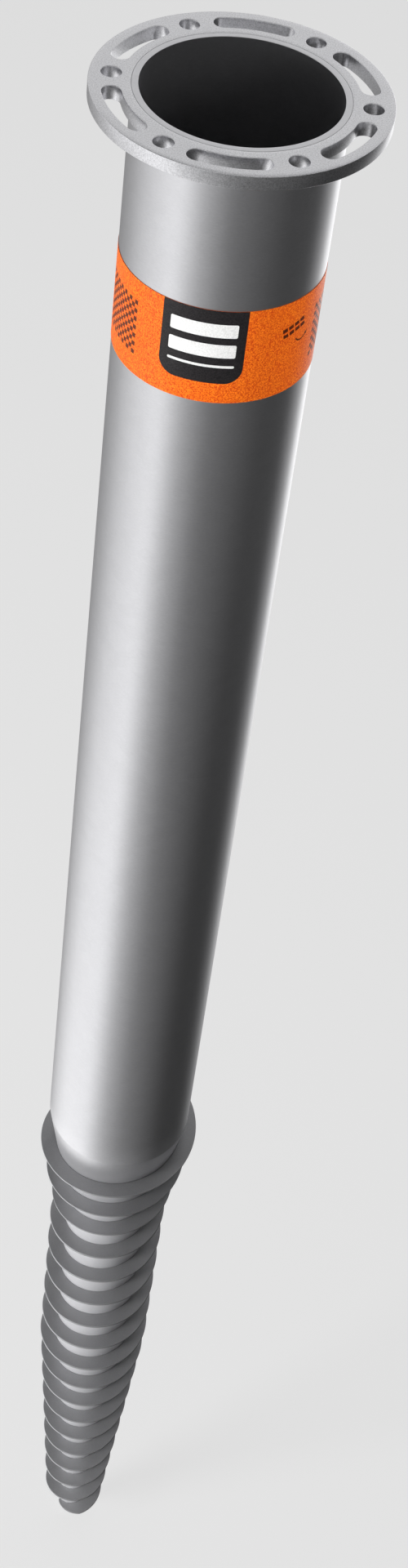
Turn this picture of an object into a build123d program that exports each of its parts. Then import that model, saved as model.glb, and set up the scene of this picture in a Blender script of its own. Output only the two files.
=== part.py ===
from build123d import *

import os
from math import atan, cos, degrees, radians

# Foundation ground screw: a steel tube forged down to a closed point, a welded helical flight
# round the forged end, and a bolting flange welded on at the top. All sizes in millimetres.
#
# The origin is the centre of the flange's top face. +Z points up out of the ground and the screw
# runs down along -Z, so every "depth" is a distance below the flange's top face.

# Tube
tube_diameter = 114.3
tube_wall = 3.6
shoulder_depth = 925.0

# Forged end: cone from the tube to the neck, straight neck, long taper, blunt point
neck_diameter = 73.0
neck_start_depth = 1055.0
neck_end_depth = 1300.0
taper_end_diameter = 30.2
taper_end_depth = 1665.0
point_length = 20.0
point_flat_diameter = 8.0
forged_wall = 4.0
closed_length = 40.0

# Flange plate
flange_diameter = 159.0
flange_thickness = 8.0
flange_rim_chamfer = 0.4
flange_bore_clearance = 0.15
bolt_circle_diameter = 136.0
bolt_count = 6
bolt_hole_diameter = 11.0
slot_width = 10.5
slot_span_angle = 28.2
slot_offset_angle = 30.0

# Fillet weld under the flange
weld_leg = 4.0
weld_clearance = 0.05

# Thread: one right-handed flight of flat strip, its inner edge welded on the forged end. Its
# turns run from a distance below the shoulder to a distance above the taper's end.
thread_pitch = 40.8
thread_shoulder_distance = 18.7
thread_taper_end_distance = 1.3
thread_start_angle = 90.0
flight_height = 13.0
flight_thickness = 2.5
flight_seat_clearance = 0.05

# Adhesive label wrapped round the tube, its ends meeting at the back
label_top_depth = 95.5
label_width = 60.0
label_thickness = 0.25
label_seat_clearance = 0.05
label_end_gap = 1.5

# Sizes worked out from the driving dimensions
tube_radius = tube_diameter / 2
tube_bore_radius = tube_radius - tube_wall
neck_radius = neck_diameter / 2
taper_end_radius = taper_end_diameter / 2
tip_depth = taper_end_depth + point_length
hollow_end_depth = tip_depth - closed_length

# The outside of the forged end as (radius, height) corners, from its foot up to the shoulder
forged_outline = [
    (taper_end_radius, -taper_end_depth),
    (neck_radius, -neck_end_depth),
    (neck_radius, -neck_start_depth),
    (tube_radius, -shoulder_depth),
]


def forged_radius(height):
    """Outside radius of the forged end at a height, between the corners of its outline."""
    for (low_radius, low), (high_radius, high) in zip(forged_outline, forged_outline[1:]):
        if height <= high:
            break
    return low_radius + (high_radius - low_radius) * (height - low) / (high - low)


# Shaft: tube, cone, neck, taper and point are one hollow piece, solid over its last stretch
hollow_end_radius = forged_radius(-hollow_end_depth) - forged_wall

with BuildPart() as shaft:
    with BuildSketch(Plane.XZ):
        with BuildLine():
            Polyline(
                (0, -tip_depth),
                (point_flat_diameter / 2, -tip_depth),
                *forged_outline,
                (tube_radius, 0),
                (tube_bore_radius, 0),
                (tube_bore_radius, -shoulder_depth),
                (neck_radius - forged_wall, -neck_start_depth),
                (neck_radius - forged_wall, -neck_end_depth),
                (hollow_end_radius, -hollow_end_depth),
                (0, -hollow_end_depth),
                close=True,
            )
        make_face()
    revolve(axis=Axis.Z)


# Flange plate: six round bolt holes and six arc slots between them on one pitch circle
with BuildPart() as flange_plate:
    with BuildSketch(Plane.XY.offset(-flange_thickness)):
        Circle(flange_diameter / 2)
        Circle(tube_radius + flange_bore_clearance, mode=Mode.SUBTRACT)
        with PolarLocations(bolt_circle_diameter / 2, bolt_count):
            Circle(bolt_hole_diameter / 2, mode=Mode.SUBTRACT)
        with BuildLine(mode=Mode.PRIVATE) as slot_line:
            CenterArc((0, 0), bolt_circle_diameter / 2, -slot_span_angle / 2, slot_span_angle)
        with PolarLocations(0, bolt_count, start_angle=slot_offset_angle):
            SlotArc(slot_line.edge(), slot_width, mode=Mode.SUBTRACT)
    extrude(amount=flange_thickness)
    rim_edges = flange_plate.edges().filter_by(GeomType.CIRCLE)
    rim_edges = rim_edges.filter_by(lambda edge: abs(edge.radius - flange_diameter / 2) < 0.01)
    chamfer(rim_edges, flange_rim_chamfer)


# Fillet weld in the corner between the flange's underside and the tube
weld_radius = tube_radius + weld_clearance
weld_height = -flange_thickness - weld_clearance

with BuildPart() as flange_weld:
    with BuildSketch(Plane.XZ):
        with BuildLine():
            Polyline(
                (weld_radius, weld_height),
                (weld_radius + weld_leg, weld_height),
                (weld_radius, weld_height - weld_leg),
                close=True,
            )
        make_face()
    revolve(axis=Axis.Z)


# Thread flight: its section is a strip's, and each of its four edges is a helix whose radius
# follows the forged end, so it is made in stretches that end where an edge meets a corner
thread_start_depth = shoulder_depth + thread_shoulder_distance
thread_end_depth = taper_end_depth - thread_taper_end_distance
thread_turns = (thread_end_depth - thread_start_depth) / thread_pitch
flight_foot = -thread_end_depth - flight_thickness / 2
flight_head = -thread_start_depth - flight_thickness / 2
flight_foot_angle = thread_start_angle - 360 * thread_turns


def flight_edge(low, high, lift, reach):
    """Helix on the flight between two heights of its lower face.

    The lift is 0 on the lower face and the thickness on the upper one, and the reach is the
    edge's distance out from the forged end.
    """
    low_radius = forged_radius(low + lift) + reach
    high_radius = forged_radius(high + lift) + reach
    cone_angle = degrees(atan((high_radius - low_radius) / (high - low)))
    helix = Edge.make_helix(
        pitch=thread_pitch / cos(radians(cone_angle)),
        height=high - low,
        radius=low_radius,
        center=(0, 0, low + lift),
        angle=cone_angle,
    )
    turned = flight_foot_angle + 360 * (low - flight_foot) / thread_pitch
    return helix.rotate(Axis.Z, turned)


def flight_stretch_edges(low, high):
    """The four edges of one stretch, in order round the strip's section."""
    return [
        flight_edge(low, high, 0, flight_seat_clearance),
        flight_edge(low, high, 0, flight_height),
        flight_edge(low, high, flight_thickness, flight_height),
        flight_edge(low, high, flight_thickness, flight_seat_clearance),
    ]


stretch_ends = [flight_foot, flight_head]
for corner_radius, corner_height in forged_outline:
    for lift in (0, flight_thickness):
        if flight_foot < corner_height - lift < flight_head:
            stretch_ends.append(corner_height - lift)
stretch_ends.sort()

flight_faces = []
for low, high in zip(stretch_ends, stretch_ends[1:]):
    edges = flight_stretch_edges(low, high)
    for edge, next_edge in zip(edges, edges[1:] + edges[:1]):
        flight_faces.append(Face.make_surface_from_curves(edge, next_edge))
    if low == flight_foot:
        flight_faces.append(Face(Wire.make_polygon([edge @ 0 for edge in edges])))
    if high == flight_head:
        flight_faces.append(Face(Wire.make_polygon([edge @ 1 for edge in edges])))

with BuildPart() as thread_flight:
    add(Solid(Shell(flight_faces)))


# Label: one turn of film on the tube
label_inner_radius = tube_radius + label_seat_clearance
label_gap_angle = degrees(label_end_gap / label_inner_radius)

with BuildPart() as label_band:
    with BuildSketch(Plane.XZ.rotated((0, 0, 90 + label_gap_angle / 2))):
        with Locations((label_inner_radius, -label_top_depth)):
            Rectangle(label_thickness, label_width, align=(Align.MIN, Align.MAX))
    revolve(axis=Axis.Z, revolution_arc=360 - label_gap_angle)


os.makedirs("parts", exist_ok=True)

shaft.part.label = "shaft"
export_step(shaft.part, "parts/shaft.step")

flange_plate.part.label = "flange_plate"
export_step(flange_plate.part, "parts/flange_plate.step")

flange_weld.part.label = "flange_weld"
export_step(flange_weld.part, "parts/flange_weld.step")

thread_flight.part.label = "thread_flight"
export_step(thread_flight.part, "parts/thread_flight.step")

label_band.part.label = "label_band"
export_step(label_band.part, "parts/label_band.step")
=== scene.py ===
import logging
import math
from dataclasses import dataclass
from enum import Enum

import bmesh
import bpy
import numpy as np
from mathutils import Matrix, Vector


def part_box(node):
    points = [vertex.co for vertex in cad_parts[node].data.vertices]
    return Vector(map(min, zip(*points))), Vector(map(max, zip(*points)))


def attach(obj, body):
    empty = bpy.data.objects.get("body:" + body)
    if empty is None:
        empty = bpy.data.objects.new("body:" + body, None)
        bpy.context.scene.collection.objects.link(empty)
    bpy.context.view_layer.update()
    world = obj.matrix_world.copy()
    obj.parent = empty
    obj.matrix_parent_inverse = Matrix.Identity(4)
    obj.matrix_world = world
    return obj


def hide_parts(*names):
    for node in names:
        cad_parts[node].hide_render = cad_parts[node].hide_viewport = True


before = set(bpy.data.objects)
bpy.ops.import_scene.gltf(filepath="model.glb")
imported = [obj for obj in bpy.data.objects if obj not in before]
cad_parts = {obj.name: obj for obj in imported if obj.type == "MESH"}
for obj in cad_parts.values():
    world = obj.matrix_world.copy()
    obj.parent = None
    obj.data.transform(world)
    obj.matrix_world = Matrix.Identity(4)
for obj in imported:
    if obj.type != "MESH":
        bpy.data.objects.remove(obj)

# The looks of a foundation ground screw: hot-dip galvanised steel with a printed film label.
# Everything is in metres in the frame's own axes: the origin is the centre of the flange's top
# face, +Z is up along the screw and the point is at the foot.

LOG = logging.getLogger("ground_screw")
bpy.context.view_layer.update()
BODY = "root"
MERGE_DISTANCE = 2e-6
SHARP_ANGLE = math.radians(38)
FLANGE_CLEARANCE = 0.00015
WELD_CLEARANCE = 0.00005

# Where nearly all the values of a noise lie, and a finish's swing about its middle tone
NOISE_LOW, NOISE_HIGH = 0.3, 0.7
TONE_SWING = 1 / 6

Colour = tuple[float, float, float]
Triple = tuple[float, float, float]
Socket = bpy.types.NodeSocket
Tone = float | Colour | Socket
Outline = np.ndarray


# ---- Finishes ----


class NodeGraph:
    """The nodes of a material or a world, with short calls to add and join them."""

    def __init__(self, tree: bpy.types.NodeTree) -> None:
        """Works on a tree that is already there."""
        self.nodes = tree.nodes
        self.links = tree.links

    def ramp(self, value: Socket, low: float, high: float, to_low: float = 0.0,
             to_high: float = 1.0) -> Socket:
        """Maps value from low..high to to_low..to_high, held at the ends."""
        node = self.nodes.new("ShaderNodeMapRange")
        node.inputs["From Min"].default_value = low
        node.inputs["From Max"].default_value = high
        node.inputs["To Min"].default_value = to_low
        node.inputs["To Max"].default_value = to_high
        self.links.new(value, node.inputs["Value"])
        return node.outputs["Result"]

    def sum(self, first: Socket, second: Socket) -> Socket:
        """The sum of two values."""
        node = self.nodes.new("ShaderNodeMath")
        node.operation = "ADD"
        self.links.new(first, node.inputs[0])
        self.links.new(second, node.inputs[1])
        return node.outputs["Value"]

    def mix(self, factor: Socket, first: Tone, second: Tone, colour: bool = False) -> Socket:
        """The value or colour from first at factor 0 to second at factor 1.

        Args:
            factor: the share of the second.
            first: a number, a colour or a socket.
            second: the same.
            colour: whether they are colours.

        Returns:
            The mixed socket.
        """
        node = self.nodes.new("ShaderNodeMix")
        node.data_type = "RGBA" if colour else "FLOAT"
        kind = "RGBA" if colour else "VALUE"
        self.links.new(factor, node.inputs["Factor"])
        for name, given in (("A", first), ("B", second)):
            socket = next(s for s in node.inputs if s.name == name and s.type == kind)
            if isinstance(given, Socket):
                self.links.new(given, socket)
            else:
                socket.default_value = (*given, 1.0) if colour else given
        return next(s for s in node.outputs if s.type == kind)


class NodeTree(NodeGraph):
    """A material's node tree, with its shader and its Object coordinates."""

    def __init__(self, name: str) -> None:
        """Starts a material of that name."""
        self.material = bpy.data.materials.new(name)
        self.material.use_nodes = True
        super().__init__(self.material.node_tree)
        self.shader = self.nodes["Principled BSDF"]
        self.place = self.nodes.new("ShaderNodeTexCoord").outputs["Object"]

    def noise(self, per_metre: float, detail: float = 2.0, roughness: float = 0.5,
              squash: Triple = (1.0, 1.0, 1.0)) -> Socket:
        """Noise on Object coordinates.

        Args:
            per_metre: how many features fit in a metre.
            detail: octaves.
            roughness: how strong the small octaves are.
            squash: scale of each axis, for a drawn-out grain.

        Returns:
            The noise's value socket, about 0.5 on average.
        """
        mapping = self.nodes.new("ShaderNodeMapping")
        mapping.inputs["Scale"].default_value = squash
        self.links.new(self.place, mapping.inputs["Vector"])
        node = self.nodes.new("ShaderNodeTexNoise")
        node.inputs["Scale"].default_value = per_metre
        node.inputs["Detail"].default_value = detail
        node.inputs["Roughness"].default_value = roughness
        self.links.new(mapping.outputs["Vector"], node.inputs["Vector"])
        return node.outputs["Fac"]

    def crystals(self, per_metre: float) -> Socket:
        """A random tone for each zinc crystal, from 0 to 1."""
        node = self.nodes.new("ShaderNodeTexVoronoi")
        node.inputs["Scale"].default_value = per_metre
        self.links.new(self.place, node.inputs["Vector"])
        split = self.nodes.new("ShaderNodeSeparateColor")
        self.links.new(node.outputs["Color"], split.inputs["Color"])
        return split.outputs["Red"]

    def height(self) -> Socket:
        """The height in the frame."""
        node = self.nodes.new("ShaderNodeSeparateXYZ")
        self.links.new(self.place, node.inputs["Vector"])
        return node.outputs["Z"]

    def swing(self, value: Socket, middle: float, reach: float) -> Socket:
        """A noise mapped to a reach either side of a middle."""
        return self.ramp(value, NOISE_LOW, NOISE_HIGH, middle - reach, middle + reach)

    def feed(self, socket: str, value: Socket) -> None:
        """Feeds one of the shader's sockets."""
        self.links.new(value, self.shader.inputs[socket])

    def show(self, surface: Socket) -> None:
        """Feeds the material's surface."""
        self.links.new(surface, self.nodes["Material Output"].inputs["Surface"])

    def bump(self, height: Socket, depth: float) -> None:
        """Turns a value into bumps of that depth in metres on the shader's normal."""
        node = self.nodes.new("ShaderNodeBump")
        node.inputs["Strength"].default_value = 1.0
        node.inputs["Distance"].default_value = depth
        self.links.new(height, node.inputs["Height"])
        self.feed("Normal", node.outputs["Normal"])


@dataclass(frozen=True)
class ZincFinish:
    """Hot-dip galvanised steel: satin zinc with fine grain and faint crystals.

    Matt zinc has a share below 1 of metal and the rest plain grey. Where a dull top is given,
    the zinc below that height has the dull share and tone, as on steel that was forged hot.
    """

    name: str
    tone: float
    roughness: float
    metal_share: float = 1.0
    roughness_swing: float = 0.05
    grain_contrast: float = 0.10
    crystal_contrast: float = 0.015
    grain_per_metre: float = 1500.0
    grain_octaves: float = 3.0
    grain_strength: float = 0.7
    grain_stretch: Triple = (1.0, 1.0, 1.0)
    crystals_per_metre: float = 120.0
    cloud_contrast: float = 0.012
    clouds_per_metre: float = 9.0
    cloud_octaves: float = 4.0
    cloud_stretch: Triple = (1.0, 1.0, 0.35)
    bump_depth: float = 0.00003
    blue_cast: float = 1.03
    dull_top: float | None = None
    dull_fade: float = 0.12
    dull_share: float = 0.35
    dull_tone: float = 0.74

    def material(self) -> bpy.types.Material:
        """The finish's material.

        The base tone is varied by a fine grain, by faint crystals and by broad clouds drawn
        out along the screw. The roughness and the bumps follow the same grain.

        Returns:
            The material.
        """
        tree = NodeTree(self.name)
        tree.shader.inputs["Metallic"].default_value = self.metal_share
        grain = tree.noise(
            self.grain_per_metre, self.grain_octaves, self.grain_strength, self.grain_stretch
        )
        clouds = tree.noise(self.clouds_per_metre, self.cloud_octaves, squash=self.cloud_stretch)
        crystal = tree.crystals(self.crystals_per_metre)
        grain_half, crystal_half, cloud_half = (
            contrast / TONE_SWING / 2
            for contrast in (self.grain_contrast, self.crystal_contrast, self.cloud_contrast)
        )
        tone = tree.sum(tree.swing(grain, 0.5, grain_half), tree.sum(
            tree.ramp(crystal, 0.0, 1.0, -crystal_half, crystal_half),
            tree.swing(clouds, 0.0, cloud_half),
        ))
        colour = self.shades(tree, tone, self.tone)
        if self.dull_top is not None:
            low = self.dull_top - self.dull_fade
            dull = tree.ramp(tree.height(), low, self.dull_top, 1.0, 0.0)
            colour = tree.mix(dull, colour, self.shades(tree, tone, self.dull_tone), colour=True)
            tree.feed("Metallic", tree.ramp(dull, 0.0, 1.0, self.metal_share, self.dull_share))
        tree.feed("Base Color", colour)
        tree.feed("Roughness", tree.swing(grain, self.roughness, self.roughness_swing))
        tree.bump(grain, self.bump_depth)
        return tree.material

    def shades(self, tree: NodeTree, tone: Socket, middle: float) -> Socket:
        """The zinc's grey at each tone from 0 to 1, within a swing either side of the middle."""
        dark, light = middle * (1 - TONE_SWING), middle * (1 + TONE_SWING)
        return tree.mix(tone, (dark, dark, dark * self.blue_cast),
                        (light, light, light * self.blue_cast), colour=True)


@dataclass(frozen=True)
class FilmFinish:
    """Printed label film: one ink colour with a fine speckle and a slight gloss."""

    name: str
    dark: Colour
    light: Colour
    roughness: float = 0.42
    roughness_swing: float = 0.05
    specular: float = 0.22
    speckle_per_metre: float = 1150.0
    speckle_strength: float = 0.8
    speckle_range: tuple[float, float] = (0.38, 0.62)
    ripples_per_metre: float = 60.0
    bump_depth: float = 0.00002

    def material(self) -> bpy.types.Material:
        """The finish's material: the ink swings between its dark and light tones in specks.

        Returns:
            The material.
        """
        tree = NodeTree(self.name)
        tree.shader.inputs["Specular IOR Level"].default_value = self.specular
        speckle = tree.noise(self.speckle_per_metre, roughness=self.speckle_strength)
        ripple = tree.noise(self.ripples_per_metre)
        share = tree.ramp(speckle, *self.speckle_range)
        tree.feed("Base Color", tree.mix(share, self.dark, self.light, colour=True))
        tree.feed("Roughness", tree.swing(ripple, self.roughness, self.roughness_swing))
        tree.bump(tree.sum(speckle, ripple), self.bump_depth)
        return tree.material


@dataclass(frozen=True)
class FloorFinish:
    """Plain pale studio floor: most of its paleness is its own, so that no lamp need be strong."""

    name: str
    tone: float
    own_tone: float
    own_share: float = 0.75
    mottle: float = 0.015
    mottles_per_metre: float = 1.5
    roughness: float = 0.9
    specular: float = 0.1

    def material(self) -> bpy.types.Material:
        """The floor's material: matt, with a barely seen mottle, and a plain pale glow.

        Returns:
            The material.
        """
        tree = NodeTree(self.name)
        mottle = tree.noise(self.mottles_per_metre)
        low = self.tone * (1 - self.mottle)
        tree.feed("Base Color", tree.mix(mottle, (low,) * 3, (self.tone,) * 3, colour=True))
        tree.shader.inputs["Roughness"].default_value = self.roughness
        tree.shader.inputs["Specular IOR Level"].default_value = self.specular
        glow = tree.nodes.new("ShaderNodeEmission")
        glow.inputs["Strength"].default_value = self.own_tone
        seen = tree.nodes.new("ShaderNodeLightPath")
        sight = tree.sum(seen.outputs["Is Camera Ray"], seen.outputs["Is Glossy Ray"])
        mix = tree.nodes.new("ShaderNodeMixShader")
        tree.links.new(tree.ramp(sight, 0.0, 1.0, 0.0, self.own_share), mix.inputs["Fac"])
        tree.links.new(tree.shader.outputs["BSDF"], mix.inputs[1])
        tree.links.new(glow.outputs["Emission"], mix.inputs[2])
        tree.show(mix.outputs["Shader"])
        return tree.material


@dataclass(frozen=True)
class TentFinish:
    """Lit cloth of the tent, as bright at each place as its own tone attribute says."""

    name: str
    attribute: str

    def material(self) -> bpy.types.Material:
        """The tent's material: a plain glow.

        Returns:
            The material.
        """
        tree = NodeTree(self.name)
        tone = tree.nodes.new("ShaderNodeAttribute")
        tone.attribute_name = self.attribute
        glow = tree.nodes.new("ShaderNodeEmission")
        tree.links.new(tone.outputs["Fac"], glow.inputs["Strength"])
        tree.show(glow.outputs["Emission"])
        return tree.material


TUBE_ZINC = ZincFinish(
    "tube_zinc", tone=0.56, roughness=0.30, metal_share=0.96, grain_contrast=0.045,
    grain_stretch=(0.3, 0.3, 1.0), roughness_swing=0.015, bump_depth=0.000003, dull_top=-0.90,
)
PLATE_ZINC = ZincFinish("plate_zinc", tone=0.62, roughness=0.32, grain_contrast=0.32,
                        grain_per_metre=1300.0)
# The flight's zinc tone is darker than the tube's and the plate's. Part of that is a darker zinc,
# and part is painted shade for the shade that falls on the flight under the turn above it.
FLIGHT_ZINC_AND_PAINTED_SHADE = ZincFinish("flight_zinc_and_painted_shade", tone=0.32, roughness=0.42, metal_share=0.5)
WELD_ZINC = ZincFinish("weld_zinc", tone=0.50, roughness=0.42, bump_depth=0.00008)
ORANGE_FILM = FilmFinish("orange_film", dark=(0.62, 0.040, 0.002), light=(1.0, 0.235, 0.010))
PALE_FLOOR = FloorFinish("pale_floor", tone=0.80, own_tone=0.90)


# ---- Surfaces ----


def grid_quads(rows: int, columns: int, closed_rows: bool = False, closed_columns: bool = False
               ) -> np.ndarray:
    """The four-sided faces of a grid of points.

    Args:
        rows: points along the first direction.
        columns: points along the second direction.
        closed_rows: whether the last row joins the first.
        closed_columns: whether the last column joins the first.

    Returns:
        An array of faces, four point numbers each.
    """
    index = np.arange(rows * columns).reshape(rows, columns)
    if closed_rows:
        index = np.vstack([index, index[:1]])
    if closed_columns:
        index = np.hstack([index, index[:, :1]])
    corners = (index[:-1, :-1], index[:-1, 1:], index[1:, 1:], index[1:, :-1])
    return np.stack([corner.ravel() for corner in corners], axis=1)


def sheet(name: str, grid: np.ndarray, material: bpy.types.Material) -> bpy.types.Object:
    """A grid of points as one open sheet in the scene."""
    mesh = bpy.data.meshes.new(name)
    mesh.from_pydata(grid.reshape(-1, 3).tolist(), [], grid_quads(*grid.shape[:2]).tolist())
    mesh.materials.append(material)
    obj = bpy.data.objects.new(name, mesh)
    bpy.context.scene.collection.objects.link(obj)
    return obj


class Surface:
    """Grids of points gathered into one closed mesh."""

    def __init__(self) -> None:
        """Starts with no grids."""
        self.points: list[np.ndarray] = []
        self.faces: list[np.ndarray] = []
        self.count = 0

    def add(self, grid: np.ndarray, closed_rows: bool = False, closed_columns: bool = False
            ) -> None:
        """Adds a grid.

        Args:
            grid: points, as rows by columns by three.
            closed_rows: whether the last row joins the first.
            closed_columns: whether the last column joins the first.
        """
        rows, columns = grid.shape[:2]
        quads = grid_quads(rows, columns, closed_rows, closed_columns)
        self.points.append(grid.reshape(-1, 3))
        self.faces.append(quads + self.count)
        self.count += rows * columns

    def piece(self, name: str, finish: ZincFinish | FilmFinish) -> bpy.types.Object:
        """Makes the grids one object, with the points where they meet merged.

        Args:
            name: the piece's name.
            finish: what it is made of.

        Returns:
            The object, at the origin.
        """
        mesh = bpy.data.meshes.new(name)
        mesh.from_pydata(np.vstack(self.points).tolist(), [], np.vstack(self.faces).tolist())
        work = bmesh.new()
        work.from_mesh(mesh)
        bmesh.ops.remove_doubles(work, verts=work.verts, dist=MERGE_DISTANCE)
        bmesh.ops.recalc_face_normals(work, faces=work.faces)
        work.to_mesh(mesh)
        work.free()
        mesh.shade_smooth()
        mesh.set_sharp_from_angle(angle=SHARP_ANGLE)
        mesh.materials.append(finish.material())
        obj = bpy.data.objects.new(name, mesh)
        bpy.context.scene.collection.objects.link(obj)
        return obj


def rounded(corners: Outline, radius: float, steps: int = 4, support: float = 0.0008) -> Outline:
    """An open outline with each inner corner rounded.

    Each corner becomes a short curve that is tangent to both its sides, with one more point a
    short way along each side, so that the flat beside it shades as a flat.

    Args:
        corners: (across, height) points.
        radius: the radius of the arc that would touch both sides where the curve does.
        steps: pieces in each curve.
        support: the distance from a curve to the point beside it.

    Returns:
        The outline's points.
    """
    parts = [corners[:1]]
    for before, corner, after in zip(corners[:-2], corners[1:-1], corners[2:]):
        back = (before - corner) / np.linalg.norm(before - corner)
        ahead = (after - corner) / np.linalg.norm(after - corner)
        half = np.arccos(np.clip(back @ ahead, -1, 1)) / 2
        reach = radius / np.tan(half)
        start = corner + back * reach
        end = corner + ahead * reach
        share = np.linspace(0, 1, steps + 1)[:, None]
        bend = (1 - share) ** 2 * start + 2 * share * (1 - share) * corner + share ** 2 * end
        parts += [(start + back * support)[None], bend, (end + ahead * support)[None]]
    parts.append(corners[-1:])
    return np.vstack(parts)


def quarter(radius: float, points: int) -> tuple[np.ndarray, np.ndarray]:
    """How far a rounded corner stands in from its side and down from its end."""
    turn = np.linspace(0, np.pi / 2, points)
    return radius * (1 - np.sin(turn)), radius * (1 - np.cos(turn))


def subdivided(outline: Outline, longest: float) -> Outline:
    """The outline with points added evenly so that no side is over the longest length."""
    parts = [outline[:1]]
    for start, end in zip(outline[:-1], outline[1:]):
        count = max(1, math.ceil(np.linalg.norm(end - start) / longest))
        share = np.arange(1, count + 1)[:, None] / count
        parts.append(start + (end - start) * share)
    return np.vstack(parts)


def polar(radius: np.ndarray | float, angle: np.ndarray, height: np.ndarray) -> np.ndarray:
    """Points in space from their distance from the Z axis, angle and height."""
    return np.stack(np.broadcast_arrays(
        radius * np.cos(angle), radius * np.sin(angle), height
    ), axis=-1)


def turned(outline: Outline, segments: int) -> np.ndarray:
    """The outline turned about the Z axis: a row for each point, a column for each step."""
    angle = np.arange(segments) * 2 * np.pi / segments
    return polar(outline[:, :1], angle, outline[:, 1:])


def dress(obj: bpy.types.Object, slot: str, *nodes: str) -> None:
    """Puts a piece on the frame.

    Args:
        obj: the piece.
        slot: the name of a material slot; it is not used.
        nodes: the CAD nodes that it stands for.
    """
    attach(obj, BODY)
    if nodes:
        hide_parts(*nodes)
    LOG.info("%s: %d faces", obj.name, len(obj.data.polygons))


# ---- Steelwork ----


@dataclass(frozen=True)
class ForgedOutline:
    """The outside of the shaft: tube, cone, straight neck and long taper."""

    tube_radius: float
    neck_radius: float = 0.0365
    taper_end_radius: float = 0.0151
    shoulder: float = -0.925
    neck_top: float = -1.055
    neck_foot: float = -1.300
    taper_end: float = -1.665

    def corners(self) -> Outline:
        """The outline's (radius, height) corners from the taper's end up to the shoulder."""
        return np.array([
            (self.taper_end_radius, self.taper_end),
            (self.neck_radius, self.neck_foot),
            (self.neck_radius, self.neck_top),
            (self.tube_radius, self.shoulder),
        ])

    def radius_at(self, height: np.ndarray) -> np.ndarray:
        """The outside radius at each height, straight between corners."""
        corners = self.corners()
        return np.interp(height, corners[:, 1], corners[:, 0])


@dataclass(frozen=True)
class Shaft:
    """The tube, drawn down to a closed point, hollow nearly to its foot."""

    outline: ForgedOutline
    tip: float
    wall: float = 0.0036
    forged_wall: float = 0.0040
    closed_length: float = 0.040
    point_flat_radius: float = 0.004
    rim_round: float = 0.00015
    segments: int = 256
    longest_side: float = 0.04

    def profile(self) -> Outline:
        """The half-section from the hollow's foot, up inside, over the rim and down outside."""
        shape = self.outline
        bore = shape.tube_radius - self.wall
        neck_bore = shape.neck_radius - self.forged_wall
        hollow_foot = self.tip + self.closed_length
        foot_bore = float(shape.radius_at(np.array(hollow_foot))) - self.forged_wall
        corners = np.array([
            (0, hollow_foot),
            (foot_bore, hollow_foot),
            (neck_bore, shape.neck_foot),
            (neck_bore, shape.neck_top),
            (bore, shape.shoulder),
            (bore, 0),
            (shape.tube_radius, 0),
            *shape.corners()[::-1],
            (self.point_flat_radius, self.tip),
            (0, self.tip),
        ])
        return subdivided(rounded(corners, self.rim_round), self.longest_side)

    def build(self) -> bpy.types.Object:
        """The half-section turned about the axis, its ends closing on the axis.

        Returns:
            The shaft.
        """
        surface = Surface()
        surface.add(turned(self.profile(), self.segments), closed_columns=True)
        return surface.piece("galvanised_shaft", TUBE_ZINC)

    def add(self) -> None:
        """Builds the shaft and puts it on the frame."""
        dress(self.build(), "galvanised_tube", "shaft")


@dataclass(frozen=True)
class Opening:
    """A round hole or an arc slot in the flange, with the sector of plate round it."""

    middle: float
    half_width: float
    span: float
    sector: float
    columns: int


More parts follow.
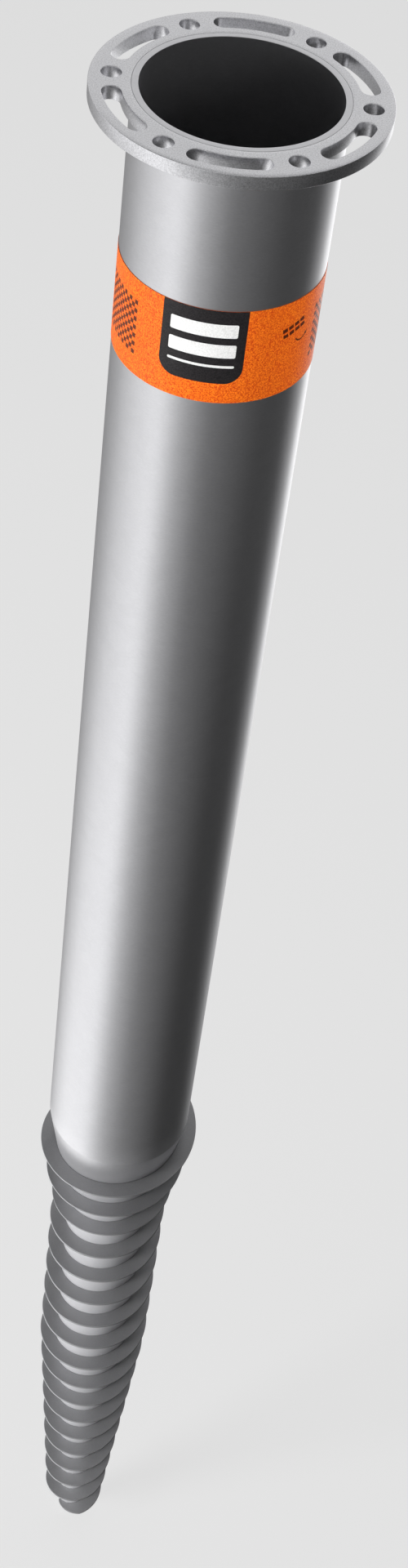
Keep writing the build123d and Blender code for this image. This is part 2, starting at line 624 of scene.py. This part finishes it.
@dataclass(frozen=True)
class Flange:
    """The bolting flange: a round plate with six holes and six arc slots."""

    radius: float
    thickness: float
    bore_radius: float
    circle_radius: float = 0.068
    hole_radius: float = 0.0055
    slot_half_width: float = 0.00525
    slot_span: float = math.radians(28.2)
    count: int = 6
    hole_sector: float = math.radians(16)
    edge_round: float = 0.00035
    rim_round: float = 0.0004
    bore_round: float = 0.00012
    hole_columns: int = 20
    slot_columns: int = 56
    side_rows: int = 18
    face_shares: tuple[float, ...] = (0.0, 0.45, 0.85, 1.0)
    collar: float = 1.6
    bend_points: int = 4
    wall_bend_points: int = 5

    def openings(self) -> list[Opening]:
        """The twelve openings in order round the plate, the first hole on +X."""
        pitch = 2 * math.pi / self.count
        slot_sector = pitch - self.hole_sector
        found = []
        for index in range(self.count):
            found += [
                Opening(index * pitch, self.hole_radius, 0.0, self.hole_sector,
                        self.hole_columns),
                Opening((index + 0.5) * pitch, self.slot_half_width, self.slot_span,
                        slot_sector, self.slot_columns),
            ]
        return found

    def sector_edge(self, opening: Opening) -> np.ndarray:
        """The edge of an opening's sector of plate, as (radius, angle) once round.

        It runs out along one side, back along the rim, in along the other side and along the
        bore, and the angle is measured from the opening's middle.
        """
        inner = self.bore_radius + self.bore_round
        outer = self.radius - self.rim_round
        half = opening.sector / 2
        across = np.linspace(-half, half, opening.columns + 1)
        along = np.linspace(inner, outer, self.side_rows + 1)
        radius = np.concatenate([
            along[:-1], np.full(opening.columns, outer), along[:0:-1],
            np.full(opening.columns, inner),
        ])
        angle = np.concatenate([
            np.full(self.side_rows, -half), across[:-1],
            np.full(self.side_rows, half), across[:0:-1],
        ])
        return np.stack([radius, angle], axis=1)

    def opening_grid(self, opening: Opening) -> np.ndarray:
        """One sector of plate with its opening.

        Each point of the sector's edge is joined to the opening's edge on the line to the
        nearest point of the opening's centre arc. The rows run in over the top face, down the
        opening's wall with rounded edges, and out under the bottom face.

        Args:
            opening: the opening.

        Returns:
            A grid closed along its columns.
        """
        edge = self.sector_edge(opening)
        outer = np.stack([
            edge[:, 0] * np.cos(edge[:, 1]), edge[:, 0] * np.sin(edge[:, 1])
        ], axis=1)
        foot_angle = np.clip(edge[:, 1], -opening.span / 2, opening.span / 2)
        foot = self.circle_radius * np.stack([np.cos(foot_angle), np.sin(foot_angle)], axis=1)
        away = outer - foot
        away /= np.linalg.norm(away, axis=1, keepdims=True)

        gap, drop = quarter(self.edge_round, self.bend_points)
        collar = foot + away * (opening.half_width + self.edge_round * self.collar)
        face_rows = [outer + (collar - outer) * share for share in self.face_shares]
        wall_rows = [foot + away * (opening.half_width + g) for g in gap]
        plan = np.stack(face_rows + wall_rows + wall_rows[::-1] + face_rows[::-1])
        height = np.concatenate([
            np.zeros(len(face_rows)), -drop, -self.thickness + drop[::-1],
            np.full(len(face_rows), -self.thickness),
        ])
        turn_cos, turn_sin = math.cos(opening.middle), math.sin(opening.middle)
        return np.stack(np.broadcast_arrays(
            plan[:, :, 0] * turn_cos - plan[:, :, 1] * turn_sin,
            plan[:, :, 0] * turn_sin + plan[:, :, 1] * turn_cos,
            height[:, None],
        ), axis=2)

    def wall_grid(self, radius: float, edge: float, outwards: int) -> np.ndarray:
        """The rim or the bore: a wall with rounded edges, turned about the axis.

        Args:
            radius: the wall's radius.
            edge: the radius of its rounded edges.
            outwards: 1 for the rim, -1 for the bore.

        Returns:
            A grid closed along its columns, with the sectors' own angles.
        """
        inset, drop = quarter(edge, self.wall_bend_points)
        across = radius - outwards * np.concatenate([inset, inset[::-1]])
        height = np.concatenate([-drop, -self.thickness + drop[::-1]])
        angle = np.concatenate([
            opening.middle + np.linspace(-0.5, 0.5, opening.columns + 1)[:-1] * opening.sector
            for opening in self.openings()
        ])
        return polar(across[:, None], angle, height[:, None])

    def build(self) -> bpy.types.Object:
        """The twelve sectors, the rim and the bore, merged into one closed plate.

        Returns:
            The flange.
        """
        surface = Surface()
        for opening in self.openings():
            surface.add(self.opening_grid(opening), closed_columns=True)
        surface.add(self.wall_grid(self.radius, self.rim_round, 1), closed_columns=True)
        surface.add(self.wall_grid(self.bore_radius, self.bore_round, -1), closed_columns=True)
        return surface.piece("galvanised_flange", PLATE_ZINC)

    def add(self) -> None:
        """Builds the flange and puts it on the frame."""
        dress(self.build(), "galvanised_plate", "flange_plate")


@dataclass(frozen=True)
class FlangeWeld:
    """The fillet weld in the corner under the flange, with its ripples."""

    root_radius: float
    root_height: float
    leg: float
    ripple_count: int = 150
    ripple_depth: float = 0.00016
    ripple_lean: float = 1.6
    inward_share: float = 0.7
    steps_per_ripple: int = 6
    face_steps: int = 8

    def build(self) -> bpy.types.Object:
        """The weld: a triangle turned about the axis, its face drawn in by each ripple.

        The face's points lie between the two toes, drawn in towards the root by a scalloped
        wave of the angle that leans forward in the middle, as a weld pool freezes.

        Returns:
            The weld.
        """
        columns = self.ripple_count * self.steps_per_ripple
        angle = np.arange(columns) * 2 * np.pi / columns
        share = np.linspace(0, 1, self.face_steps + 1)[:, None]
        lean = self.ripple_lean * np.sin(np.pi * share)
        phase = angle[None, :] * self.ripple_count + lean
        draw = self.ripple_depth * (1 - np.abs(np.sin(phase / 2))) * np.sin(np.pi * share)
        root = np.zeros((1, columns))
        out = np.vstack([root, (1 - share) * self.leg - draw * self.inward_share])
        down = np.vstack([root, share * self.leg - draw * self.inward_share])
        surface = Surface()
        surface.add(polar(self.root_radius + out, angle, self.root_height - down),
                    closed_rows=True, closed_columns=True)
        return surface.piece("flange_fillet_weld", WELD_ZINC)

    def add(self) -> None:
        """Builds the weld and puts it on the frame."""
        dress(self.build(), "galvanised_weld", "flange_weld")


@dataclass(frozen=True)
class ThreadFlight:
    """The helical flight: a strip wound on edge round the forged end, right-handed."""

    outline: ForgedOutline
    foot: float
    head: float
    thickness: float = 0.0025
    pitch: float = 0.0408
    head_angle: float = math.radians(90)
    seat: float = 0.00005
    height: float = 0.0130
    edge_round: float = 0.0005
    lead_in_angle: float = math.radians(75)
    lead_in_height: float = 0.0020
    steps_per_turn: int = 120

    def section(self) -> Outline:
        """The strip's section as (reach, lift) round from the seat, its rim edges rounded."""
        half = self.thickness / 2
        corners = np.array([
            (self.seat, -half), (self.height, -half), (self.height, half), (self.seat, half)
        ])
        middle = (corners[0] + corners[-1]) / 2
        closed = np.vstack([middle, corners, middle])
        return rounded(closed, self.edge_round, steps=3, support=0.0004)[:-1]

    def build(self) -> bpy.types.Object:
        """The section carried along the helix.

        A point of the section stands at its reach from the forged end's own radius at the
        point's own height, so the strip keeps its seat over the cone, the neck and the taper.
        Over the lead-in the rim grows evenly from a low height to the strip's full height, and
        the points between the seat and the rim keep their share of the way.

        Returns:
            The flight.
        """
        travel = self.head - self.foot - self.thickness
        turns = travel / self.pitch
        steps = round(turns * self.steps_per_turn)
        share = np.linspace(0, 1, steps + 1)[None, :]
        section = self.section()
        height = self.foot + self.thickness / 2 + share * travel + section[:, 1:]
        grown = np.clip(2 * np.pi * turns * share / self.lead_in_angle, 0, 1)
        rim = self.lead_in_height + (self.height - self.lead_in_height) * grown
        across = (section[:, :1] - self.seat) / (self.height - self.seat)
        radius = self.outline.radius_at(height) + self.seat + across * (rim - self.seat)
        side = polar(radius, self.head_angle - 2 * np.pi * turns * (1 - share), height)
        surface = Surface()
        surface.add(side, closed_rows=True)
        for end in (side[:, :1], side[:, -1:]):
            middle = end.mean(axis=0, keepdims=True)
            surface.add(np.concatenate([end, np.broadcast_to(middle, end.shape)], axis=1),
                        closed_rows=True)
        return surface.piece("galvanised_flight", FLIGHT_ZINC_AND_PAINTED_SHADE)

    def add(self) -> None:
        """Builds the flight and puts it on the frame."""
        dress(self.build(), "galvanised_flight", "thread_flight")


# ---- Label ----


class Ink(Enum):
    """The label's inks."""

    BLACK = FilmFinish("black_ink", dark=(0.008, 0.007, 0.008), light=(0.022, 0.020, 0.021))
    WHITE = FilmFinish("white_ink", dark=(0.70, 0.70, 0.69), light=(0.86, 0.86, 0.85))
    BROWN = FilmFinish("brown_ink", dark=(0.060, 0.010, 0.003), light=(0.130, 0.022, 0.005))


@dataclass(frozen=True)
class LabelBand:
    """The film wrapped round the tube, its ends meeting at the back, and its print."""

    tube_radius: float
    top: float
    foot: float
    seat: float = 0.00005
    thickness: float = 0.00022
    end_gap: float = 0.0015
    segments: int = 360
    ink_lift: float = 0.00001
    ink_thickness: float = 0.00002
    edge_row: float = 0.001
    longest_side: float = 0.001

    def wrap(self, along: np.ndarray, down: np.ndarray, radius: np.ndarray | float) -> np.ndarray:
        """Wraps points round the tube, along from the front's middle and down from the top."""
        angle = along / (self.tube_radius + self.seat + self.thickness) - np.pi / 2
        return polar(radius, angle, self.top - down)

    def film(self) -> bpy.types.Object:
        """The film: a thin box bent round the tube, open at the back by the end gap.

        Returns:
            The film.
        """
        inner = self.tube_radius + self.seat
        outer = inner + self.thickness
        half = np.pi * outer - self.end_gap / 2
        along = np.linspace(-half, half, self.segments + 1)[None, :]
        width = self.top - self.foot
        down = np.array([0.0, self.edge_row, width / 2, width - self.edge_row, width])
        rows = len(down)
        down = np.concatenate([down, down[::-1]])[:, None]
        radius = np.repeat([outer, inner], rows)[:, None]
        grid = self.wrap(along, down, radius)
        surface = Surface()
        surface.add(grid, closed_rows=True)
        for end in (grid[:, 0], grid[:, -1]):
            surface.add(np.stack([end[:rows], end[:rows - 1:-1]]))
        return surface.piece("label_film", ORANGE_FILM)

    def patch(self, surface: Surface, left: np.ndarray, right: np.ndarray, level: int) -> None:
        """Adds a printed patch between two outlines that run down its sides.

        The patch is a thin closed skin whose rows go across from the left outline to the right
        one, and whose faces follow the tube.

        Args:
            surface: where the patch goes.
            left: (along, down) points of the left side.
            right: (along, down) points of the right side, as many.
            level: how many layers of ink lie under this one, from 0.
        """
        reach = np.abs(right - left).max()
        columns = max(2, math.ceil(reach / self.longest_side))
        share = np.linspace(0, 1, columns + 1)[None, :, None]
        flat = left[:, None] + (right - left)[:, None] * share
        floor = self.tube_radius + self.seat + self.thickness - self.ink_thickness
        low = floor + self.ink_lift * level
        high = low + self.ink_thickness + self.ink_lift
        upper = self.wrap(flat[:, :, 0], flat[:, :, 1], high)
        lower = self.wrap(flat[:, :, 0], flat[:, :, 1], low)
        surface.add(upper)
        surface.add(lower[::-1])
        for side in (0, -1):
            surface.add(np.stack([upper[side], lower[side]]))
            surface.add(np.stack([upper[:, side], lower[:, side]]))


@dataclass(frozen=True)
class PlainPanel:
    """A dark panel with rounded lower corners, two plain white bars and a fine rule."""

    centre: float = -0.0035
    width: float = 0.0475
    depth: float = 0.047
    corner: float = 0.010
    side_margin: float = 0.0050
    bar_tops: tuple[float, ...] = (0.0085, 0.0215)
    bar_depth: float = 0.0085
    bar_corner: float = 0.0010
    rule_top: float = 0.0350
    rule_depth: float = 0.0016
    corner_points: int = 13
    bar_corner_points: int = 5

    def sides(self, half: float, inset: np.ndarray, down: np.ndarray
              ) -> tuple[np.ndarray, np.ndarray]:
        """The left and right sides of a shape that is the same both ways."""
        return (np.stack([self.centre - half + inset, down], axis=1),
                np.stack([self.centre + half - inset, down], axis=1))

    def outlines(self) -> tuple[np.ndarray, np.ndarray]:
        """The panel's left and right sides: straight down, then a quarter circle inwards."""
        up, inset = quarter(self.corner, self.corner_points)
        return self.sides(self.width / 2, np.concatenate([[0.0], inset]),
                          np.concatenate([[0.0], self.depth - up]))

    def bar(self, top: float, depth: float, corner: float) -> tuple[np.ndarray, np.ndarray]:
        """A bar's left and right sides, with a quarter circle at each corner."""
        inset, drop = quarter(corner, self.bar_corner_points)
        return self.sides(self.width / 2 - self.side_margin,
                          np.concatenate([inset, inset[::-1]]),
                          np.concatenate([top + drop, top + depth - drop[::-1]]))

    def add(self, band: LabelBand) -> None:
        """Prints the panel, its bars and its rule on the film."""
        panel = Surface()
        band.patch(panel, *self.outlines(), level=1)
        dress(panel.piece("label_panel", Ink.BLACK.value), "label_film")
        bars = Surface()
        for top in self.bar_tops:
            band.patch(bars, *self.bar(top, self.bar_depth, self.bar_corner), level=2)
        band.patch(bars, *self.bar(self.rule_top, self.rule_depth, self.rule_depth / 2), level=2)
        dress(bars.piece("label_panel_bars", Ink.WHITE.value), "label_film")


@dataclass(frozen=True)
class CheckField:
    """A square field of small dark squares in a plain check."""

    centres: tuple[float, ...]
    top: float = 0.0130
    size: float = 0.0345
    squares: int = 13

    def add(self, band: LabelBand) -> None:
        """Prints the fields on the film."""
        surface = Surface()
        cell = self.size / self.squares
        for centre in self.centres:
            for row in range(self.squares):
                for column in range(row % 2, self.squares, 2):
                    left = centre - self.size / 2 + column * cell
                    down = np.array([self.top + row * cell, self.top + (row + 1) * cell])
                    band.patch(
                        surface,
                        np.stack([np.full(2, left), down], axis=1),
                        np.stack([np.full(2, left + cell), down], axis=1),
                        level=1,
                    )
        dress(surface.piece("label_check", Ink.BROWN.value), "label_film")


@dataclass(frozen=True)
class SlantedMark:
    """Two short slanted rows of dashes and a small curved arrow below them."""

    left: float = 0.0420
    top: float = 0.0170
    dash: float = 0.0034
    dash_gap: float = 0.0009
    dashes: tuple[int, ...] = (4, 4)
    thickness: float = 0.0024
    rise: float = math.radians(13)
    spacing: float = 0.0038
    arrow_centre: tuple[float, float] = (0.0575, 0.0235)
    arrow_radius: float = 0.0052
    arrow_start: float = math.radians(150)
    arrow_end: float = math.radians(40)
    arrow_width: float = 0.0009
    arrow_points: int = 15
    head: float = 0.0022
    head_half_share: float = 0.55
    head_tip: float = 1e-5

    def add(self, band: LabelBand) -> None:
        """Prints the marks on the film."""
        surface = Surface()
        run = np.array([math.cos(self.rise), -math.sin(self.rise)])
        drop = np.array([math.sin(self.rise), math.cos(self.rise)])
        for row, count in enumerate(self.dashes):
            for index in range(count):
                start = (np.array([self.left, self.top]) + drop * self.spacing * row
                         + run * (self.dash + self.dash_gap) * index)
                left = np.stack([start, start + drop * self.thickness])
                band.patch(surface, left, left + run * self.dash, level=1)
        turn = np.linspace(self.arrow_start, self.arrow_end, self.arrow_points)
        ray = np.stack([np.cos(turn), np.sin(turn)], axis=1)
        centre = np.array(self.arrow_centre)
        half = self.arrow_width / 2
        band.patch(surface, centre + ray * (self.arrow_radius + half),
                   centre + ray * (self.arrow_radius - half), level=1)
        base = centre + ray[-1] * self.arrow_radius
        ahead = np.array([ray[-1][1], -ray[-1][0]])
        tip = base + ahead * self.head
        head_half = ray[-1] * self.head * self.head_half_share
        band.patch(surface, np.stack([base - head_half, base + head_half]),
                   np.stack([tip, tip + ray[-1] * self.head_tip]), level=1)
        dress(surface.piece("label_marks", Ink.BROWN.value), "label_film")


# ---- Studio ----


@dataclass(frozen=True)
class SoftBox:
    """A rectangular soft light, out of the camera's sight."""

    name: str
    place: Triple
    aim: Triple
    width: float
    height: float
    watts: float
    spread: float = math.pi

    def add(self) -> None:
        """Hangs the light at its place and turns it to its aim."""
        data = bpy.data.lights.new(self.name, "AREA")
        data.shape = "RECTANGLE"
        data.size = self.width
        data.size_y = self.height
        data.energy = self.watts
        data.spread = self.spread
        obj = bpy.data.objects.new(self.name, data)
        backward = np.array(self.place, float) - np.array(self.aim, float)
        backward /= np.linalg.norm(backward)
        right = np.cross((0.0, 0.0, 1.0), backward)
        right /= np.linalg.norm(right)
        up = np.cross(backward, right)
        turn = Matrix(np.stack([right, up, backward], axis=1).tolist())
        obj.matrix_world = Matrix.Translation(self.place) @ turn.to_4x4()
        obj.visible_camera = False
        obj.visible_glossy = False
        bpy.context.scene.collection.objects.link(obj)


@dataclass(frozen=True)
class LightTent:
    """A round tent of lit and dark cloth, which shows only in the steel's reflections.

    Its stops are (bearing, brightness) pairs, with bearings in degrees from the front, positive
    to the right. The low stops hold round the point and the high ones at half the tent's
    height, and the brightness runs evenly from one to the other along the cloth. The cloth runs
    in over the floor nearly to the point, so that steel low down reflects the same bands as
    steel high up.
    """

    floor_height: float
    top: float = 0.15
    radius: float = 0.9
    mouth: float = 0.03
    gap: float = 0.0015
    low_stops: tuple[tuple[float, float], ...] = (
        (-180, 0.30), (-150, 0.42), (-122, 1.00), (-96, 1.55), (-50, 1.50), (-20, 0.62),
        (8, 0.30), (40, 0.16), (70, 0.05), (125, 0.05), (150, 0.22), (178, 0.26), (180, 0.30),
    )
    high_stops: tuple[tuple[float, float], ...] = (
        (-180, 0.25), (-150, 0.30), (-120, 0.52), (-96, 0.90), (-48, 1.45), (-24, 0.62),
        (6, 0.20), (40, 0.11), (70, 0.05), (110, 0.06), (134, 0.55), (150, 1.8), (178, 1.8),
        (180, 0.25),
    )
    fade_start: float = 0.15
    fade_length: float = 0.45
    longest_side: float = 0.12
    bearings: int = 181

    def add(self) -> None:
        """Builds the tent: its profile turned about the axis, its brightness set by bearing."""
        bearing = np.linspace(-180, 180, self.bearings)[None, :]
        foot = self.floor_height + self.gap
        profile = subdivided(np.array([
            (self.mouth, foot), (self.radius, foot), (self.radius, self.top)
        ]), self.longest_side)
        across, height = profile[:, :1], profile[:, 1:]
        grid = polar(across, np.radians(bearing) - np.pi / 2, height)
        along = np.linspace(0, 1, len(profile))[:, None]
        share = np.clip((along - self.fade_start) / self.fade_length, 0, 1)
        low, high = np.array(self.low_stops), np.array(self.high_stops)
        tone = (np.interp(bearing, low[:, 0], low[:, 1]) * (1 - share)
                + np.interp(bearing, high[:, 0], high[:, 1]) * share)
        cloth = TentFinish("tent_cloth", "brightness")
        obj = sheet("light_tent", grid, cloth.material())
        layer = obj.data.attributes.new(cloth.attribute, "FLOAT", "POINT")
        layer.data.foreach_set("value", tone.ravel().astype(np.float32))
        obj.visible_camera = False
        obj.visible_shadow = False
        obj.visible_diffuse = False
        obj.visible_transmission = False


@dataclass(frozen=True)
class StudioWorld:
    """The even light of the room, and the plain grey that it shows behind the floor.

    In reflections it is a pale wall, a dark ceiling above it and a pale panel overhead.
    """

    light: float = 0.12
    seen: float = 0.70
    wall: float = 0.95
    ceiling: float = 0.22
    zenith: float = 0.80
    wall_top: float = math.radians(36)
    ceiling_start: float = math.radians(48)
    ceiling_end: float = math.radians(64)
    zenith_start: float = math.radians(78)

    def add(self) -> None:
        """Makes the world: three plain strengths picked by the kind of ray."""
        world = bpy.data.worlds.new("studio_world")
        world.use_nodes = True
        graph = NodeGraph(world.node_tree)
        ray = graph.nodes.new("ShaderNodeLightPath")
        place = graph.nodes.new("ShaderNodeTexCoord")
        split = graph.nodes.new("ShaderNodeSeparateXYZ")
        graph.links.new(place.outputs["Generated"], split.inputs["Vector"])
        upper = graph.ramp(split.outputs["Z"], math.sin(self.wall_top),
                           math.sin(self.ceiling_start))
        overhead = graph.ramp(split.outputs["Z"], math.sin(self.ceiling_end),
                              math.sin(self.zenith_start))
        roof = graph.mix(overhead, self.ceiling, self.zenith)
        reflected = graph.mix(upper, self.wall, roof)
        lit = graph.mix(ray.outputs["Is Glossy Ray"], self.light, reflected)
        shown = graph.mix(ray.outputs["Is Camera Ray"], lit, self.seen)
        background = graph.nodes["Background"]
        graph.links.new(shown, background.inputs["Strength"])
        background.inputs["Color"].default_value = (1.0, 1.0, 1.0, 1.0)
        bpy.context.scene.world = world


@dataclass(frozen=True)
class StudioFloor:
    """The pale floor under the point."""

    height: float
    half_size: float = 80.0
    steps: int = 40

    def add(self) -> None:
        """Lays the floor as a flat grid."""
        line = np.linspace(-self.half_size, self.half_size, self.steps + 1)
        across, along = np.meshgrid(line, line)
        grid = np.stack([across, along, np.full_like(across, self.height)], axis=2)
        sheet("studio_floor", grid, PALE_FLOOR.material())


@dataclass(frozen=True)
class StudioCamera:
    """The camera: in front of the flange and above it, looking down the screw."""

    place: Triple = (0.0311, -1.0150, 0.5801)
    look_down: float = math.radians(47.38)
    roll: float = math.radians(8.21)
    lens: float = 50.0

    def add(self) -> None:
        """Makes the camera the scene's own."""
        data = bpy.data.cameras.new("studio_camera")
        data.lens = self.lens
        data.sensor_width = 36.0
        data.clip_start = 0.01
        obj = bpy.data.objects.new("studio_camera", data)
        tilt = Matrix.Rotation(math.pi / 2 - self.look_down, 4, "X")
        obj.matrix_world = (
            Matrix.Translation(self.place) @ tilt @ Matrix.Rotation(self.roll, 4, "Z")
        )
        bpy.context.scene.collection.objects.link(obj)
        bpy.context.scene.camera = obj


@dataclass(frozen=True)
class Studio:
    """Floor, soft lights, light tent and the world's even light."""

    floor_height: float
    boxes: tuple[SoftBox, ...] = (
        SoftBox("key_left", (-3.4, -2.0, -0.6), (0, 0, -0.85), 1.4, 1.8, 190.0),
        SoftBox("label_right", (0.80, -0.70, 0.25), (0, 0, -0.13), 0.4, 0.4, 0.75,
                spread=math.radians(50)),
        SoftBox("fill_top", (0.3, 0.6, 2.4), (0, 0, -0.4), 2.4, 2.0, 22.0),
    )

    def add(self) -> None:
        """Sets the studio up and the scene's plain view settings."""
        StudioFloor(self.floor_height).add()
        LightTent(self.floor_height).add()
        StudioWorld().add()
        for box in self.boxes:
            box.add()
        bpy.context.scene.view_settings.view_transform = "Standard"


def main() -> None:
    """Builds the ground screw's pieces in order, then the studio and the camera."""
    logging.basicConfig(level=logging.INFO, format="%(name)s %(message)s")
    shaft_low, shaft_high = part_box("shaft")
    plate_low, plate_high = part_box("flange_plate")
    weld_low, weld_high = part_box("flange_weld")
    flight_low, flight_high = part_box("thread_flight")
    label_low, label_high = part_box("label_band")

    outline = ForgedOutline(tube_radius=shaft_high.x)
    Shaft(outline, tip=shaft_low.z).add()
    Flange(
        radius=plate_high.x, thickness=plate_high.z - plate_low.z,
        bore_radius=shaft_high.x + FLANGE_CLEARANCE,
    ).add()
    FlangeWeld(
        root_radius=shaft_high.x + WELD_CLEARANCE, root_height=weld_high.z,
        leg=weld_high.z - weld_low.z,
    ).add()
    ThreadFlight(outline, foot=flight_low.z, head=flight_high.z).add()

    band = LabelBand(tube_radius=shaft_high.x, top=label_high.z, foot=label_low.z)
    dress(band.film(), "label_film", "label_band")
    PlainPanel().add(band)
    CheckField(centres=(-0.0625, 0.0875)).add(band)
    SlantedMark().add(band)

    Studio(floor_height=shaft_low.z).add()
    StudioCamera().add()


if __name__ == "__main__":
    main()
